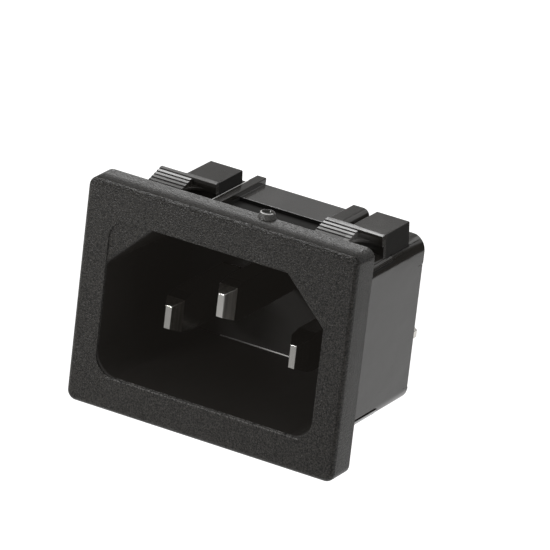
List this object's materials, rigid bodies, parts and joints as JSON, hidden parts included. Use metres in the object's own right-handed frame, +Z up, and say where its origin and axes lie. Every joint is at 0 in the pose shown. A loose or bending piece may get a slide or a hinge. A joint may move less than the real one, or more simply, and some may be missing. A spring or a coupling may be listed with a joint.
{
  "type": "appliance inlet",
  "caption": "Snap-in panel inlet: a rectangular flange round a deep socket with chamfered upper corners and flat pins, stepped snap latches, and solder tabs at the rear.",
  "frame": {"origin": "centre of the flange's back face, which rests on the front of the panel", "axes": "+X to the right seen from the front, +Y rearwards into the panel, +Z up towards the chamfered corners of the socket"},
  "size_m": [0.03, 0.025, 0.0234],
  "materials": {
    "housing": "fine matt texture",
    "rear_cover": "satin",
    "contacts": "satin nickel"
  },
  "bodies": {
    "root": {"housing": "housing", "rear_cover": "rear_cover", "line_contact": "contacts", "neutral_contact": "contacts", "earth_contact": "contacts"}
  },
  "joints": []
}
